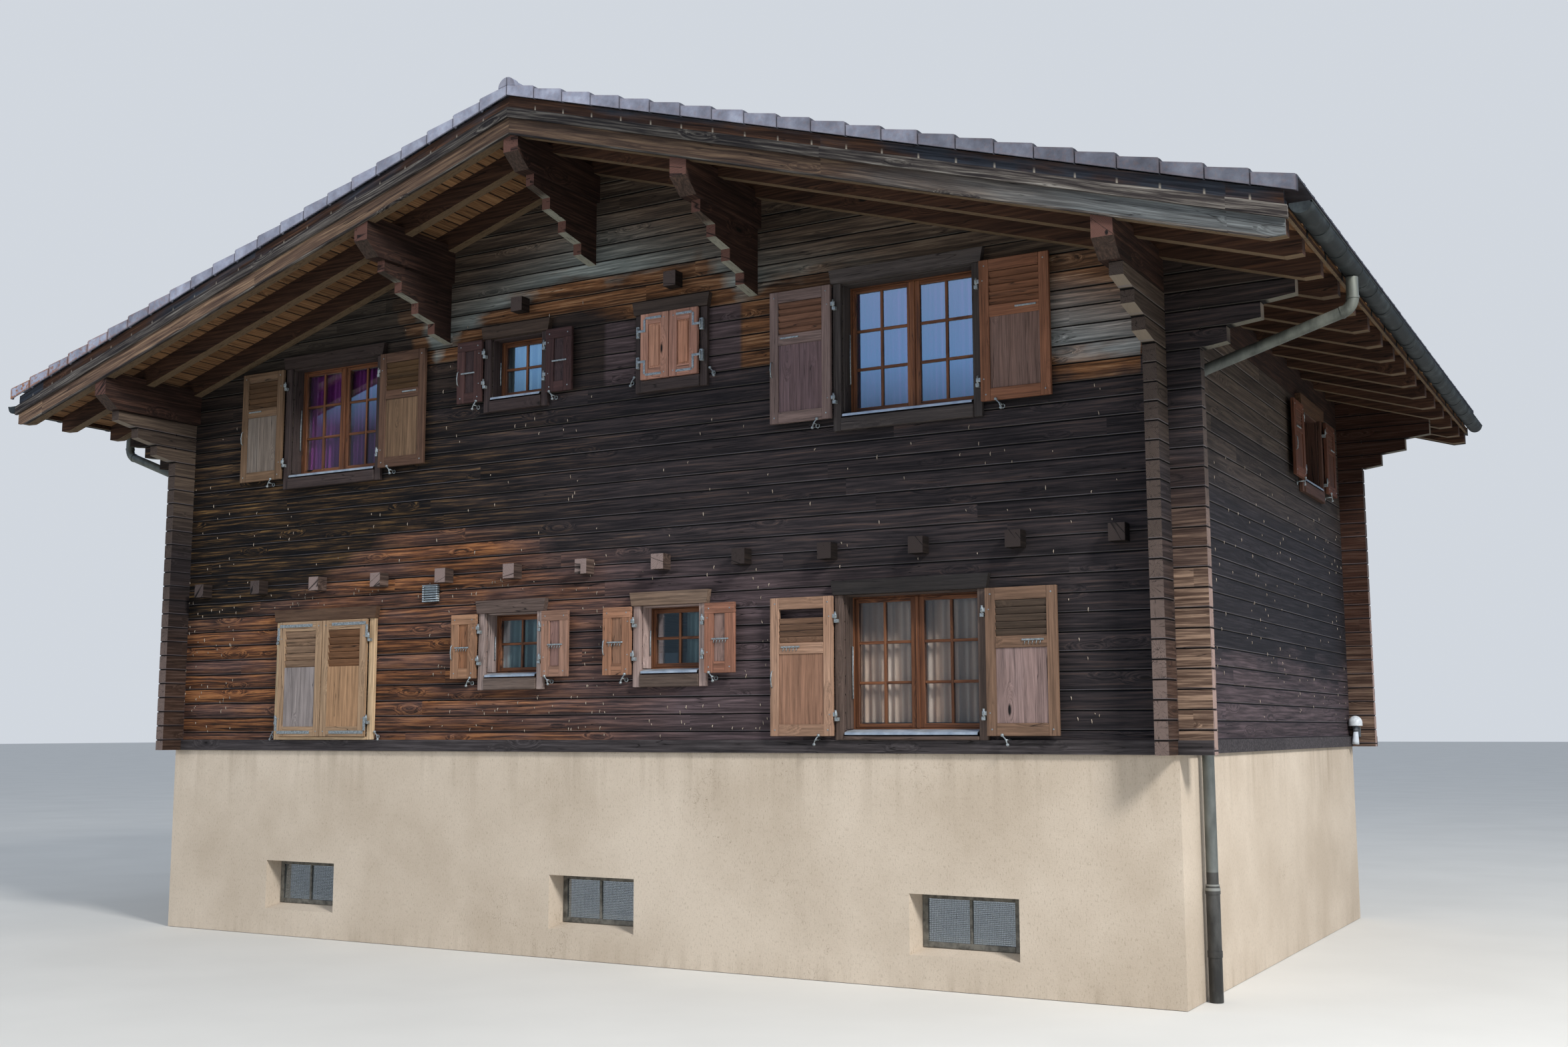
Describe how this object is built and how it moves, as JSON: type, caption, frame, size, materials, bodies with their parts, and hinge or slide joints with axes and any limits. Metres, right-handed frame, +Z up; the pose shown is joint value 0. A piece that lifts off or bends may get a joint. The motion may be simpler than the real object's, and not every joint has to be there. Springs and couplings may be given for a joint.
{
  "type": "alpine chalet",
  "caption": "Two-storey log chalet on a masonry plinth, with halved log corners, stepped consoles under the purlins, a low tiled roof with wide eaves, and shuttered windows.",
  "frame": {"origin": "middle of the house's overall box, on the ground", "axes": "+X to the right along the front with the gable, +Y from the front to the back, +Z up"},
  "size_m": [13.534, 9.234, 7.709],
  "materials": {
    "plinth_stucco": "rough lime stucco",
    "floor_concrete": "rough",
    "joist_wood": "rough sawn, weathered",
    "board_wood": "planed",
    "log_wood": "sun-darkened squared logs",
    "gable_wood": "weathered grey",
    "drip_wood": "weathered",
    "purlin_wood": "weathered",
    "rafter_wood": "stained",
    "roof_tile": "matt, lichened",
    "verge_wood": "weathered grey",
    "zinc_sheet": "dull",
    "casing_wood": "weathered",
    "window_wood": "varnished",
    "window_glass": "clear",
    "shutter_wood": "stained",
    "grille_steel": "dull",
    "vent_metal": "satin",
    "lamp_enamel": "white enamel"
  },
  "bodies": {
    "root": {"plinth_front": "plinth_stucco", "plinth_back": "plinth_stucco", "plinth_left": "plinth_stucco", "plinth_right": "plinth_stucco", "cellar_floor": "floor_concrete", "ground_floor": "floor_concrete", "floor_joists": "joist_wood", "upper_floor": "board_wood", "ceiling_beams": "joist_wood", "front_wall_lower": "log_wood", "front_wall_upper": "log_wood", "front_gable": "gable_wood", "back_wall_lower": "log_wood", "back_wall_upper": "log_wood", "back_gable": "gable_wood", "left_wall": "log_wood", "right_wall": "log_wood", "drip_boards": "drip_wood", "ridge_purlin": "purlin_wood", "mid_purlin_left": "purlin_wood", "mid_purlin_right": "purlin_wood", "eave_purlin_left": "purlin_wood", "eave_purlin_right": "purlin_wood", "rafters_left": "rafter_wood", "rafters_right": "rafter_wood", "roof_boards": "board_wood", "battens": "board_wood", "tiles_left": "roof_tile", "tiles_right": "roof_tile", "ridge_tiles": "roof_tile", "verge_boards": "verge_wood", "fascia_boards": "verge_wood", "gutter_left": "zinc_sheet", "gutter_right": "zinc_sheet", "downpipe_left": "zinc_sheet", "downpipe_right": "zinc_sheet", "front_casings": "casing_wood", "front_windows": "window_wood", "front_glass": "window_glass", "front_shutters": "shutter_wood", "back_casings": "casing_wood", "back_windows": "window_wood", "back_glass": "window_glass", "back_shutters": "shutter_wood", "side_windows": "window_wood", "side_glass": "window_glass", "side_shutters": "shutter_wood", "cellar_grilles": "grille_steel", "vent_grille": "vent_metal", "wall_lamp": "lamp_enamel"}
  },
  "joints": []
}
